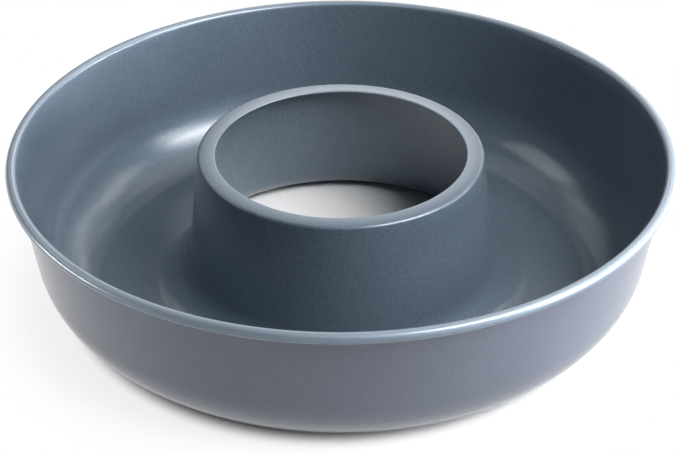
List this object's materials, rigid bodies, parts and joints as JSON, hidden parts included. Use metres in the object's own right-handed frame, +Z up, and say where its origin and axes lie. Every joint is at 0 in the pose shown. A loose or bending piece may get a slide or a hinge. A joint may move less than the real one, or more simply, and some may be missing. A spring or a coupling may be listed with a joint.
{
  "type": "savarin mould",
  "caption": "Round ring mould for baking: a coated steel trough with a wide rounded heel, a tapered open centre tube with a flat collar, and a rolled rim.",
  "frame": {"origin": "centre of the ring on the surface it stands on", "axes": "+Z up along the axis of the ring, towards the open side of the trough; -Y towards the viewer"},
  "size_m": [0.26, 0.26, 0.0612],
  "materials": {
    "nonstick_coating": "satin blue-grey non-stick coating on steel sheet",
    "steel_wire": "plain drawn steel wire"
  },
  "bodies": {
    "root": {"mould_shell": "nonstick_coating", "rim_wire": "steel_wire"}
  },
  "joints": []
}
